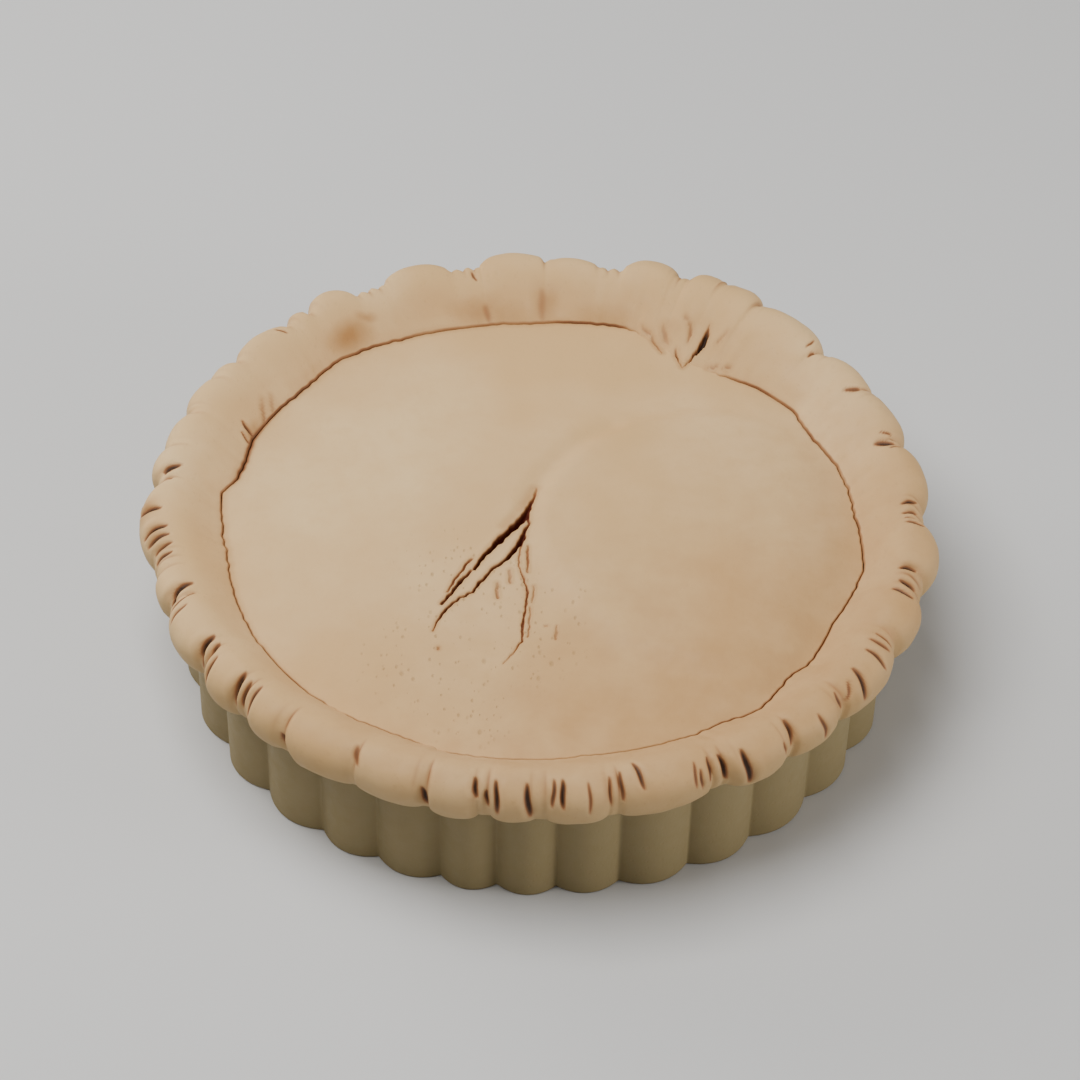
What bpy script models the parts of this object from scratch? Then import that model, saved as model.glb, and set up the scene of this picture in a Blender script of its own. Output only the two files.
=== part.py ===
"""A whole meat pie from a deep fluted tin: the pastry case with its pinched rim, and the torn lid.

Metres, +Z up. The pie stands on z = 0 with its middle on the Z axis, and its torn vent opens
towards -Y, the side that the eater sees first.
"""
import math
import random

import bmesh
import bpy

MM = 0.001

# Driving sizes
RIM_RADIUS = 120.0 * MM
BASE_RADIUS = 109.2 * MM
RIM_MID_HEIGHT = 48.0 * MM
CREST_RADIUS = 112.0 * MM
CREST_HEIGHT = 56.4 * MM
CREST_TILT = 1.0 * MM
RIM_UNDERSIDE_HEIGHT = 38.0 * MM
LID_EDGE_HEIGHT = 46.0 * MM
LID_THICKNESS = 5.0 * MM
SEAM_GAP = 0.3 * MM

# Fluted wall
FLUTE_COUNT = 32
FLUTE_STEPS = 8
FLUTE_DEPTH = 3.9 * MM
FLUTE_START = math.radians(-95.6)
FLUTE_DRIFT = math.radians(-2.9)
FLUTE_DRIFT_WAVES = 3
FLUTE_JITTER = math.radians(0.4)
WALL_DRAFT = 0.02
WALL_TOP_HEIGHT = 39.0 * MM
BASE_BEVEL = 0.8 * MM

# Rolled rim, and its thumb pinches, each as (degrees, depth in mm, swell in mm of the lobe that
# follows, half the floor's width in degrees)
INNER_SLOPE_POWER = 1.5
LOBE_POWER = 2.2
LOBE_ROUNDNESS = 0.6
CREST_WAVES = ((3, 0.7, 0.6 * MM), (5, 2.1, 0.36 * MM))
CREST_PINCH_SHARE = 0.3
UNDERSIDE_PINCH_SHARE = 0.4
PINCHES = (
    (1.5, 3.6, 0.0, 2.8),
    (16.5, 4.2, 0.0, 0.9),
    (28.6, 2.8, -0.5, 0.4),
    (39.8, 4.8, 1.6, 0.8),
    (54.0, 1.6, 3.8, 0.3),
    (61.0, -2.2, 3.3, 0.2),
    (67.5, 1.9, 2.5, 1.2),
    (79.4, 4.6, -1.2, 2.0),
    (90.0, 3.6, 1.4, 0.3),
    (103.5, 5.4, 0.7, 2.6),
    (120.0, 5.6, 1.2, 3.0),
    (131.0, 4.4, -1.2, 0.8),
    (135.5, 4.2, -0.5, 0.9),
    (147.0, 3.6, -0.5, 0.9),
    (151.8, 1.8, 0.2, 0.3),
    (160.0, 3.2, 0.0, 0.5),
    (168.0, 1.2, 0.8, 0.3),
    (175.0, 2.8, 1.3, 1.0),
    (192.5, 2.4, -0.6, 2.4),
    (201.0, 3.8, 0.4, 0.9),
    (213.4, 3.2, 0.6, 1.2),
    (223.0, 2.6, 0.2, 1.5),
    (231.5, 2.0, 0.4, 0.8),
    (243.5, 1.4, 0.0, 0.5),
    (254.5, 2.0, 0.6, 0.6),
    (263.0, 2.2, 0.0, 1.0),
    (271.0, 1.8, 0.4, 1.0),
    (281.5, 2.2, 0.0, 1.0),
    (297.5, 3.2, 0.2, 1.6),
    (309.0, 2.6, 0.0, 0.8),
    (319.5, 3.0, 0.4, 0.8),
    (334.2, 3.0, 0.4, 0.8),
    (346.0, 2.4, 1.0, 2.4),
)

# Where the rim folds in over the lid: angle, reach round the rim, depth of the fold
TUCK_ANGLE = math.radians(58.8)
TUCK_HALF_WIDTH = math.radians(4.5)
TUCK_DEPTH = 1.2 * MM

# Corners of the uneven seam between lid and rim, as (degrees, radius in mm)
SEAM_CORNERS = (
    (2.0, 96.6),
    (18.0, 95.8),
    (27.0, 93.8),
    (35.0, 95.4),
    (44.0, 93.5),
    (52.0, 90.0),
    (60.0, 88.4),
    (67.0, 92.0),
    (74.0, 96.0),
    (93.0, 93.6),
    (105.0, 94.1),
    (125.0, 96.8),
    (131.0, 98.2),
    (141.0, 95.8),
    (158.0, 96.6),
    (164.0, 94.8),
    (169.0, 94.9),
    (173.0, 98.3),
    (188.0, 95.3),
    (207.0, 97.2),
    (227.0, 98.5),
    (248.0, 97.2),
    (256.0, 98.4),
    (279.0, 96.3),
    (303.0, 97.4),
    (311.0, 99.4),
    (320.0, 96.4),
    (326.0, 97.8),
    (336.0, 95.9),
    (351.0, 99.0),
)

# Lid: a low dome, and a mound of filling that lifts its right half beside the vent
DOME_RISE = 3.0 * MM
MOUND_X = 55.0 * MM
MOUND_Y = -4.0 * MM
MOUND_RADIUS = 60.0 * MM
MOUND_RISE = 2.2 * MM
MOUND_EDGE = 9.0 * MM
MOUND_FADE_SHARE = 0.25
LID_EDGE_ROLL = 1.6 * MM
LID_EDGE_DROP = 0.7 * MM

# Tears of the vent: each is a path of (x, y, width, depth) in mm
TEAR_CLEARANCE = 2.0 * MM
MAIN_TEAR = (
    (-1.3, 16.0, 0.5, 0.6),
    (-3.2, 6.5, 1.2, 2.2),
    (-5.6, 0.0, 2.8, 4.0),
    (-11.9, -8.7, 2.4, 3.8),
    (-19.6, -21.6, 1.4, 2.6),
    (-26.0, -31.3, 1.2, 1.8),
    (-29.4, -37.0, 0.5, 0.6),
)
SIDE_TEAR = (
    (-4.0, -2.4, 0.5, 0.6),
    (-5.6, -9.2, 2.0, 3.0),
    (-10.2, -17.6, 1.5, 2.6),
    (-17.6, -26.8, 1.2, 2.0),
    (-24.2, -34.2, 1.0, 1.6),
    (-31.2, -47.6, 0.5, 0.5),
)
THIN_TEAR = (
    (-6.2, -17.6, 0.5, 0.5),
    (-3.6, -30.0, 0.8, 1.3),
    (-4.6, -46.0, 0.8, 1.2),
    (-9.0, -59.0, 0.4, 0.4),
)

PASTRY_COLOUR = (0.60, 0.44, 0.29, 1.0)
LID_COLOUR = (0.58, 0.43, 0.28, 1.0)
PASTRY_ROUGHNESS = 0.7
SMOOTH_ANGLE = math.radians(40.0)
MERGE_DISTANCE = 0.01 * MM
SEED = 41

STEPS = FLUTE_COUNT * FLUTE_STEPS


def smooth_step(value):
    """Return value clamped to 0..1 and eased at both ends."""
    value = min(max(value, 0.0), 1.0)
    return value * value * (3.0 - 2.0 * value)


def bell(offset, half_width):
    """Return 1 at no offset, falling smoothly to 0 at half_width."""
    share = min(abs(offset) / half_width, 1.0)
    return (1.0 - share * share) ** 2


def turn(angle):
    """Return an angle in degrees, from 0 up to 360."""
    return math.degrees(angle) % 360.0


def span_round(angle_deg, rows):
    """Return the rows on either side of an angle and how far it lies between them, 0 to 1."""
    for index, row in enumerate(rows):
        after = rows[(index + 1) % len(rows)]
        width = (after[0] - row[0]) % 360.0
        offset = (angle_deg - row[0]) % 360.0
        if offset < width:
            return row, after, offset / width
    return rows[-1], rows[0], 0.0


def seam_radius(angle):
    """Return the radius of the seam between lid and rim."""
    row, after, share = span_round(turn(angle), SEAM_CORNERS)
    return (row[1] + (after[1] - row[1]) * share) * MM


def pinch_depth(angle):
    """Return how far the rim is pushed in from its full radius; less than 0 where a lobe swells."""
    row, after, share = span_round(turn(angle), PINCHES)
    width = (after[0] - row[0]) % 360.0
    place = (share * width - row[3]) / (width - row[3] - after[3])
    off_middle = min(abs(2.0 * place - 1.0), 1.0)
    bulge = (1.0 - off_middle ** LOBE_POWER) ** LOBE_ROUNDNESS
    nearest = row if place < 0.5 else after
    return (nearest[1] * (1.0 - bulge) - row[2] * bulge) * MM


def tuck(angle):
    """Return the share of the inward fold at this angle, 0 to 1."""
    offset = math.remainder(angle - TUCK_ANGLE, 2.0 * math.pi)
    return bell(offset, TUCK_HALF_WIDTH)


def crest_wave(angle):
    """Return the slow rise and fall of the hand-rolled rim's crest."""
    return sum(rise * math.sin(count * angle + phase) for count, phase, rise in CREST_WAVES)


def groove_angles():
    """Return the angle of each groove between two flutes, unevenly spaced."""
    draw = random.Random(SEED)
    grooves = []
    for index in range(FLUTE_COUNT):
        offset = 2.0 * math.pi * index / FLUTE_COUNT
        drift = FLUTE_DRIFT * math.sin(FLUTE_DRIFT_WAVES * offset)
        grooves.append(FLUTE_START + offset + drift + draw.uniform(-FLUTE_JITTER, FLUTE_JITTER))
    return grooves


GROOVES = groove_angles()


def step_angle(step):
    """Return the angle of one step round the pie; every FLUTE_STEPS-th step lies in a groove."""
    flute, place = divmod(step % STEPS, FLUTE_STEPS)
    start = GROOVES[flute]
    end = GROOVES[(flute + 1) % FLUTE_COUNT]
    if flute == FLUTE_COUNT - 1:
        end += 2.0 * math.pi
    return start + (end - start) * place / FLUTE_STEPS


def flute_bulge(step):
    """Return how far the wall swells between its grooves, 0 in a groove and 1 on a flute's tip."""
    place = (step % FLUTE_STEPS) / FLUTE_STEPS
    return 1.0 - (2.0 * place - 1.0) ** 2


def wall_radius(step, height):
    """Return the fluted wall's radius at a height."""
    return BASE_RADIUS + WALL_DRAFT * height - FLUTE_DEPTH * (1.0 - flute_bulge(step))


def lid_height(x, y):
    """Return the height of the lid's upper face before its edge rolls down."""
    angle = math.atan2(y, x)
    share = math.hypot(x, y) / seam_radius(angle)
    dome = DOME_RISE * (1.0 - share * share)
    inward = MOUND_RADIUS - math.hypot(x - MOUND_X, y - MOUND_Y)
    edge_fade = smooth_step((1.0 - share) / MOUND_FADE_SHARE)
    mound = MOUND_RISE * smooth_step(inward / MOUND_EDGE) * edge_fade
    return LID_EDGE_HEIGHT + dome + mound


def ring_place(kind, share, step):
    """Return (radius, height) of a ring's point: kind names the part of the section it is on."""
    angle = step_angle(step)
    seam = seam_radius(angle)
    pinch = pinch_depth(angle)
    crest_radius = CREST_RADIUS - CREST_PINCH_SHARE * pinch
    level = CREST_HEIGHT + CREST_TILT * math.sin(angle) + crest_wave(angle)
    crest_height = level - CREST_PINCH_SHARE * pinch
    if kind == "lid_top":
        radius = share * (seam - 0.5 * SEAM_GAP)
        drop = LID_EDGE_DROP * (1.0 - smooth_step((1.0 - share) * seam / LID_EDGE_ROLL))
        return radius, lid_height(radius * math.cos(angle), radius * math.sin(angle)) - drop
    if kind in ("lid_under", "pocket"):
        side = -0.5 if kind == "lid_under" else 0.5
        radius = share * (seam + side * SEAM_GAP)
        top = lid_height(share * seam * math.cos(angle), share * seam * math.sin(angle))
        return radius, top - LID_THICKNESS - (SEAM_GAP if kind == "pocket" else 0.0)
    if kind == "slope":
        start = seam + 0.5 * SEAM_GAP
        radius = start + (crest_radius - start) * share
        rise = 1.0 - (1.0 - share) ** INNER_SLOPE_POWER
        height = LID_EDGE_HEIGHT + (crest_height - LID_EDGE_HEIGHT) * rise
        return radius, height - TUCK_DEPTH * tuck(angle) * bell(share - 0.5, 0.5)
    if kind == "outer":
        turn_down = share * math.pi / 2.0
        reach = RIM_RADIUS - pinch - crest_radius
        radius = crest_radius + reach * math.sin(turn_down)
        return radius, RIM_MID_HEIGHT + (crest_height - RIM_MID_HEIGHT) * math.cos(turn_down)
    if kind == "under":
        turn_in = share * math.pi / 2.0
        reach = RIM_RADIUS - pinch - crest_radius
        drop = RIM_MID_HEIGHT - RIM_UNDERSIDE_HEIGHT - UNDERSIDE_PINCH_SHARE * pinch
        return crest_radius + reach * math.cos(turn_in), RIM_MID_HEIGHT - drop * math.sin(turn_in)
    height = share * WALL_TOP_HEIGHT
    if kind == "base":
        return wall_radius(step, 0.0) - BASE_BEVEL * (1.0 - share), BASE_BEVEL * share
    return wall_radius(step, height), height


CASE_RINGS = (
    ("pocket", 0.0),
    ("pocket", 0.5),
    ("pocket", 1.0),
    ("slope", 0.0),
    ("slope", 0.3),
    ("slope", 0.65),
    ("slope", 1.0),
    ("outer", 0.4),
    ("outer", 0.7),
    ("outer", 1.0),
    ("under", 0.45),
    ("under", 0.85),
    ("wall", 1.0),
    ("wall", 0.5),
    ("base", 1.0),
    ("base", 0.0),
)

LID_RINGS = (
    ("lid_under", 0.0),
    ("lid_under", 0.5),
    ("lid_under", 1.0),
    ("lid_top", 1.0),
    ("lid_top", 0.98),
    ("lid_top", 0.88),
    ("lid_top", 0.72),
    ("lid_top", 0.54),
    ("lid_top", 0.34),
    ("lid_top", 0.14),
    ("lid_top", 0.0),
)


def pastry_material(name, colour):
    """Return a matt pastry material."""
    material = bpy.data.materials.new(name)
    material.use_nodes = True
    shader = material.node_tree.nodes["Principled BSDF"]
    shader.inputs["Base Color"].default_value = colour
    shader.inputs["Roughness"].default_value = PASTRY_ROUGHNESS
    shader.inputs["Metallic"].default_value = 0.0
    material.diffuse_color = colour
    return material


def spun_mesh(name, rings):
    """Spin a profile of rings round Z, then put each point where the pie's form has it."""
    bm = bmesh.new()
    ring_layer = bm.verts.layers.int.new("ring")
    profile = []
    for index, (kind, share) in enumerate(rings):
        radius, height = ring_place(kind, share, 0)
        vert = bm.verts.new((radius, 0.0, height))
        vert[ring_layer] = index
        profile.append(vert)
    edges = [bm.edges.new(pair) for pair in zip(profile, profile[1:])]
    bmesh.ops.spin(
        bm,
        geom=profile + edges,
        cent=(0.0, 0.0, 0.0),
        axis=(0.0, 0.0, 1.0),
        angle=2.0 * math.pi,
        steps=STEPS,
        use_merge=True,
    )
    for vert in bm.verts:
        kind, share = rings[vert[ring_layer]]
        step = round(math.atan2(vert.co.y, vert.co.x) / (2.0 * math.pi) * STEPS)
        radius, height = ring_place(kind, share, step)
        angle = step_angle(step)
        vert.co = (radius * math.cos(angle), radius * math.sin(angle), height)
    bmesh.ops.remove_doubles(bm, verts=bm.verts, dist=MERGE_DISTANCE)
    base = [vert for vert in bm.verts if rings[vert[ring_layer]] == ("base", 0.0)]
    if base:
        bmesh.ops.contextual_create(bm, geom=base)
    bmesh.ops.triangulate(bm, faces=bm.faces)
    bmesh.ops.recalc_face_normals(bm, faces=bm.faces)
    mesh = bpy.data.meshes.new(name)
    bm.to_mesh(mesh)
    bm.free()
    mesh.shade_smooth()
    mesh.set_sharp_from_angle(angle=SMOOTH_ANGLE)
    return mesh


def tear_cutter(name, path):
    """Return a V-shaped cutter: a triangle extruded from point to point along a tear."""
    bm = bmesh.new()
    bmesh.ops.create_circle(bm, segments=3, radius=MM, cap_ends=True)
    bm.faces.ensure_lookup_table()
    end = bm.faces[0]
    for index, (x, y, width, depth) in enumerate(path):
        if index:
            swept = bmesh.ops.extrude_face_region(bm, geom=[end])["geom"]
            if index > 1:
                bmesh.ops.delete(bm, geom=[end], context="FACES_ONLY")
            end = [item for item in swept if isinstance(item, bmesh.types.BMFace)][0]
        before = path[max(index - 1, 0)]
        after = path[min(index + 1, len(path) - 1)]
        along = math.atan2(after[1] - before[1], after[0] - before[0])
        surface = lid_height(x * MM, y * MM)
        top = surface + TEAR_CLEARANCE
        half_top = 0.5 * width * MM * (1.0 + TEAR_CLEARANCE / (depth * MM))
        sides = ((half_top, top), (-half_top, top), (0.0, surface - depth * MM))
        for loop, (aside, height) in zip(end.loops, sides):
            loop.vert.co.x = x * MM - math.sin(along) * aside
            loop.vert.co.y = y * MM + math.cos(along) * aside
            loop.vert.co.z = height
    bmesh.ops.recalc_face_normals(bm, faces=bm.faces)
    mesh = bpy.data.meshes.new(name)
    bm.to_mesh(mesh)
    bm.free()
    cutter = bpy.data.objects.new(name, mesh)
    cutter.hide_render = True
    cutter.display_type = "WIRE"
    bpy.context.scene.collection.objects.link(cutter)
    return cutter


def add_case():
    """Make the pastry case: fluted wall, base and rolled rim, solid with its filling."""
    case = bpy.data.objects.new("pie_case", spun_mesh("pie_case", CASE_RINGS))
    case.data.materials.append(pastry_material("case_pastry", PASTRY_COLOUR))
    bpy.context.scene.collection.objects.link(case)


def add_lid():
    """Make the lid, which lies inside the rim, and tear its vent open."""
    lid = bpy.data.objects.new("pie_lid", spun_mesh("pie_lid", LID_RINGS))
    lid.data.materials.append(pastry_material("lid_pastry", LID_COLOUR))
    bpy.context.scene.collection.objects.link(lid)
    for name, path in (("main_tear", MAIN_TEAR), ("side_tear", SIDE_TEAR), ("thin_tear", THIN_TEAR)):
        cut = lid.modifiers.new(name, "BOOLEAN")
        cut.operation = "DIFFERENCE"
        cut.solver = "EXACT"
        cut.object = tear_cutter(name + "_cutter", path)


def main():
    """Clear the scene and build the pie."""
    for old in list(bpy.data.objects):
        bpy.data.objects.remove(old, do_unlink=True)
    add_case()
    add_lid()


main()
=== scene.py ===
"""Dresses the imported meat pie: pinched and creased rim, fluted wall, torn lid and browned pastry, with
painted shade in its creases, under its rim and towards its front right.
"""
import math
import random

import bmesh
import bpy
import numpy as np
from bpy.props import FloatProperty, FloatVectorProperty, IntProperty, PointerProperty
from mathutils import Matrix, Vector


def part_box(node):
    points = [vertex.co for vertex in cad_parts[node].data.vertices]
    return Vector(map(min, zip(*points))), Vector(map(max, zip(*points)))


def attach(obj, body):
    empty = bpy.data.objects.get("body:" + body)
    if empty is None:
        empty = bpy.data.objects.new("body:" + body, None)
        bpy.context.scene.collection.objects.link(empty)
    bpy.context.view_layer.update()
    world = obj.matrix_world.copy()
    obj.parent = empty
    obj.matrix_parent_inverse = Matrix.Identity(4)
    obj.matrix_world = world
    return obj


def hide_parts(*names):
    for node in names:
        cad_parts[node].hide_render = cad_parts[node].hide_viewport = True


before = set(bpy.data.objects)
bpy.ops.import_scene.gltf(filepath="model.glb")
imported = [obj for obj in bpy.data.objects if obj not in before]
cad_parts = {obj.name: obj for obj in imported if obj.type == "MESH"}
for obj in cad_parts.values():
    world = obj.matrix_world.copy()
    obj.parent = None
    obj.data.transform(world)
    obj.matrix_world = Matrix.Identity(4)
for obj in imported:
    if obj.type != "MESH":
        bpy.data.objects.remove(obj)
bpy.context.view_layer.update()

bl_info = {
    "name": "Meat Pie",
    "version": (1, 0, 0),
    "blender": (4, 5, 0),
    "location": "View3D > Sidebar > Meat Pie",
    "description": "A whole meat pie with a pinched rim, a fluted wall and a torn lid",
    "category": "Add Mesh",
}

MM = 0.001
BODY = "root"
CASE_NODE = "pie_case"
LID_NODE = "pie_lid"
SEED = 41

# Section of the case, in mm, as the solids have it. A place's length is how far it lies from the seam
# over the rim. It is above ON_RIM on the rim and OFF_RIM elsewhere
SEAM_GAP = 0.3
RIM_MID_HEIGHT = 48.0
CREST_RADIUS = 112.0
CREST_TILT = 1.0
RIM_UNDERSIDE_HEIGHT = 38.0
LID_EDGE_HEIGHT = 46.0
POCKET_HEIGHT = 40.7
WALL_TOP_HEIGHT = 39.0
BASE_BEVEL = 0.8
WALL_DRAFT = 0.02
INNER_SLOPE_POWER = 1.5
CREST_PINCH_SHARE = 0.3
UNDERSIDE_PINCH_SHARE = 0.4
LOBE_POWER = 2.2
LOBE_ROUNDNESS = 0.6
CREST_WAVES = ((3, 0.7, 0.6), (5, 2.1, 0.36))
CREST_LENGTH = 18.5
OUTER_LENGTH = 12.8
UNDER_LENGTH = 14.2
UNDER_TURN = 0.94
OFF_RIM = -9.0
ON_RIM = -1.0

# How relief fades in and out over the rim's length, in mm
LUMP_FADE = 3.0
CREASE_FADE = 1.5
ROLL_START = CREST_LENGTH - 3.0
ROLL_FADE_IN = 8.0
ROLL_END = CREST_LENGTH + OUTER_LENGTH + 10.0
ROLL_FADE_OUT = 6.0

# Flutes of the wall
FLUTE_COUNT = 32
FLUTE_START = -95.6
FLUTE_DRIFT = -2.9
FLUTE_DRIFT_WAVES = 3
FLUTE_JITTER = 0.4
FLUTE_UNEVENNESS = 0.12

# Thumb pinches of the rim: degrees, depth in mm, swell in mm of the lobe that follows, half the
# floor's width in degrees
PINCHES = (
    (1.5, 3.6, 0, 2.8), (16.5, 4.2, 0, 0.9), (28.6, 2.8, -0.5, 0.4), (39.8, 4.8, 1.6, 0.8),
    (54, 1.6, 3.8, 0.3), (61, -2.2, 3.3, 0.2), (67.5, 1.9, 2.5, 1.2), (79.4, 4.6, -1.2, 2),
    (90, 3.6, 1.4, 0.3), (103.5, 5.4, 0.7, 2.6), (120, 5.6, 1.2, 3), (131, 4.4, -1.2, 0.8),
    (135.5, 4.2, -0.5, 0.9), (147, 3.6, -0.5, 0.9), (151.8, 1.8, 0.2, 0.3), (160, 3.2, 0, 0.5),
    (168, 1.2, 0.8, 0.3), (175, 2.8, 1.3, 1), (192.5, 2.4, -0.6, 2.4), (201, 3.8, 0.4, 0.9),
    (213.4, 3.2, 0.6, 1.2), (223, 2.6, 0.2, 1.5), (231.5, 2, 0.4, 0.8), (243.5, 1.4, 0, 0.5),
    (254.5, 2, 0.6, 0.6), (263, 2.2, 0, 1), (271, 1.8, 0.4, 1), (281.5, 2.2, 0, 1),
    (297.5, 3.2, 0.2, 1.6), (309, 2.6, 0, 0.8), (319.5, 3, 0.4, 0.8), (334.2, 3, 0.4, 0.8),
    (346, 2.4, 1, 2.4),
)

# Small ripples in the floor of each pinch, in degrees and mm, and the painted shade in their valleys
RIPPLE_PITCH = 1.9
RIPPLE_DEPTH = 1.1
RIPPLE_REACH = 1.6
RIPPLE_SHIFT = 0.4
RIPPLE_MEAN = 0.6
RIPPLE_FULL_PINCH = 4.0
VALLEY_TONE = 0.5
VALLEY_LENGTH = 23.5
VALLEY_REACH = 9.0

# Creases of the rim: degrees, start and end in mm from the seam over the rim, width, depth, lean in degrees
CREASES = (
    (-2.6, 16.5, 23.5, 1.1, 0.9, -0.4), (-1.3, 17, 23, 0.8, 0.6, -0.2), (0.2, 16, 24, 1, 0.8, 0.2),
    (2.5, 16, 24, 1.3, 1, 0.6), (14.5, 17, 21, 0.8, 0.5, 0), (16.3, 13.5, 21, 2.3, 1.1, -1.4),
    (18, 16, 21, 0.8, 0.5, -1.2), (29.5, 14.6, 20.5, 1.7, 0.6, -1.2), (40.4, 16, 20.5, 0.9, 0.5, 0),
    (42, 17, 22, 0.8, 0.4, 0.4), (90.6, 0.5, 9.5, 3, 0.12, 0.2), (101, 0.5, 6, 2.4, 0.16, 0.4),
    (102.3, 14, 18, 0.9, 0.5, 0.6), (138, 16, 20.5, 0.9, 0.5, 0.8), (157.2, 0, 5.6, 1.2, 0.8, -0.8),
    (159.2, 0, 4.2, 1, 0.6, -0.8), (173.4, 16.5, 25, 1.4, 1.1, 1.2), (176, 20, 26, 1, 0.6, 1),
    (182.3, 20.5, 29.5, 1.5, 1.3, -1), (186.8, 19, 28.5, 1.5, 1.3, 0.5),
    (188.6, 18.5, 28.5, 1.1, 0.9, 0.4), (190.3, 19, 28.5, 1, 0.8, 0.4), (192.1, 19.5, 29, 1.1, 0.9, 0.4),
    (200.1, 15, 31, 1.5, 1.3, 1.6), (202.3, 16.5, 29, 1, 0.7, 1.2), (204.4, 20, 28.5, 0.9, 0.6, 0.8),
    (212.2, 18, 33, 1.5, 1.3, 1.2), (214, 18.5, 31, 1.1, 0.9, 1), (216, 21.5, 32.5, 1.2, 0.9, 0.6),
    (221.6, 19, 33, 1.3, 1.1, 0.8), (223.2, 20.5, 32, 1, 0.8, 0.6), (225, 19, 31, 1.2, 0.9, 0.4),
    (232.6, 29.5, 40, 2.2, 1.2, 2), (243.8, 20.5, 27.5, 1.9, 0.4, 0.9), (254.6, 28, 36, 1.5, 1.1, 0.8),
    (261.7, 21, 29, 1.3, 1, 0.6), (263.4, 25.5, 32, 1.1, 0.9, 0.2), (264.8, 21.5, 33.5, 1.4, 1.1, 0.4),
    (269.2, 22, 35, 1.6, 1.3, 0.6), (272.7, 20.5, 30, 1.1, 0.8, -0.3), (274, 20.5, 30, 1.4, 1.2, 0),
    (277.7, 21.5, 32, 1, 0.5, 0), (280.7, 21, 31.5, 1, 0.6, 0), (282.4, 19.5, 30.5, 1.1, 0.8, 0),
    (285.1, 16, 26.5, 1.3, 0.9, 0.8), (293.1, 21, 30, 0.9, 0.6, -0.4), (293.9, 24, 31.5, 0.9, 0.7, 0),
    (295.6, 21, 31, 1.2, 0.9, -0.3), (297.9, 21.5, 34.5, 1.6, 1.2, 0.8), (301.1, 22, 36.5, 1.7, 1.4, 0.6),
    (307.5, 26, 31.5, 0.9, 0.5, 0), (309.4, 19.5, 31, 1.4, 0.9, -0.6), (314.6, 23.5, 34.5, 1.2, 0.7, 0.4),
    (319.2, 22.5, 30.5, 1.1, 0.7, 0), (321.2, 21.5, 28.5, 1.1, 0.5, -2), (323.8, 19.5, 32, 1.5, 1.1, -1),
    (328.9, 18.5, 28.5, 1.2, 0.8, 0), (331.3, 17.5, 26.5, 1.1, 0.6, 0.5), (332.8, 18.5, 27.5, 1, 0.5, 0),
    (342.5, 16, 24.5, 1.3, 1.1, -0.6), (344.8, 18, 26.5, 1.3, 1.1, -0.4),
    (347.9, 16.5, 24.5, 1.5, 1.2, 0.5),
)

# What all creases share: their width, their tone of browning and painted shade, their wander, and the ridge
# of dough on each side of a cut
CREASE_WIDENING = 1.5
CREASE_LEAST = 0.1
CREASE_TONE = 1.05
CREASE_POWER = 0.6
CREASE_SEARCH = 6.0
CREASE_WANDER = 0.075
CREASE_WANDER_RATE = 3.1
CREASE_CUT = 1.25
RIDGE_HEIGHT = 0.3
RIDGE_OFFSET = 2.2
RIDGE_WIDTH = 1.4

# Soft browned patches of the rim: degrees, mm from the seam, reach in degrees, reach in mm, strength
TOASTED_PATCHES = (
    (127.5, 5, 7.5, 7.5, 0.85), (123.2, 9, 3.4, 3.4, 0.7), (103, 4.5, 9, 7.5, 0.62),
    (97, 2.5, 9, 6.5, 0.5), (90.2, 5.5, 4.5, 9.5, 0.6), (79, 2, 10, 8, 0.5), (66, 5, 5, 4.5, 0.35),
    (157, 1, 5, 4.5, 0.8), (168, 0.5, 5, 3, 0.5), (182, 26, 3.5, 6, 0.8), (187.5, 24, 3, 5, 0.6),
    (38, 4, 10, 6, 0.25), (285, 21, 2, 5, 0.4), (263, 27, 4, 6, 0.35), (276, 29, 12, 6, 0.3),
)

# Corners of the seam between lid and rim, as (degrees, radius in mm), and the finer unevenness on it
SEAM_CORNERS = (
    (2, 96.6), (18, 95.8), (27, 93.8), (35, 95.4), (44, 93.5), (52, 90), (60, 88.4), (67, 92), (74, 96),
    (93, 93.6), (105, 94.1), (125, 96.8), (131, 98.2), (141, 95.8), (158, 96.6), (164, 94.8), (169, 94.9),
    (173, 98.3), (188, 95.3), (207, 97.2), (227, 98.5), (248, 97.2), (256, 98.4), (279, 96.3),
    (303, 97.4), (311, 99.4), (320, 96.4), (326, 97.8), (336, 95.9), (351, 99),
)
SEAM_WAVES = (17, 29, 41, 67, 113, 167)
SEAM_WAVE_HEIGHT = 0.14
SEAM_WAVE_PATCHES = (5, 11)

# The seam's groove, in mm: the two crusts stand closer here than the solids do
SEAM_OPENING = 0.13
SEAM_SHOULDER = 0.32
CLOSED_SHOULDER_LOSS = 0.6
SEAM_DEPTH = 0.75

# How the seam has browned: degrees, darkness, width in mm of its colour
SEAM_TONES = (
    (0, 0.5, 0.45), (14, 0.45, 0.45), (24, 0.55, 0.5), (34, 0.62, 0.5), (44, 0.6, 0.5), (70, 0.8, 0.6),
    (76, 0.85, 0.7), (84, 0.7, 0.5), (92, 0.5, 0.4), (100, 0.45, 0.35), (110, 0.5, 0.35),
    (124, 0.62, 0.5), (136, 0.7, 0.6), (150, 0.8, 0.8), (160, 0.9, 1.3), (167, 0.9, 1.1),
    (173, 0.55, 0.5), (186, 0.45, 0.45), (206, 0.5, 0.45), (222, 0.62, 0.5), (244, 0.55, 0.4),
    (262, 0.45, 0.35), (280, 0.4, 0.35), (300, 0.6, 0.5), (308, 0.8, 0.7), (318, 0.75, 0.6),
    (336, 0.65, 0.5), (350, 0.55, 0.5),
)
SEAM_TONE = 0.8
SEAM_TONE_POWER = 0.7
SEAM_TONE_PATCHINESS = 0.15
SEAM_TONE_PATCHES = (13, 31)

# Stretches where the seam is pressed shut: degrees, reach in degrees, share closed
SEAM_CLOSED = ((62.5, 17, 1), (252.5, 4, 0.8), (233.5, 3, 0.7))
SEAM_CLOSING = 1.6

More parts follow.
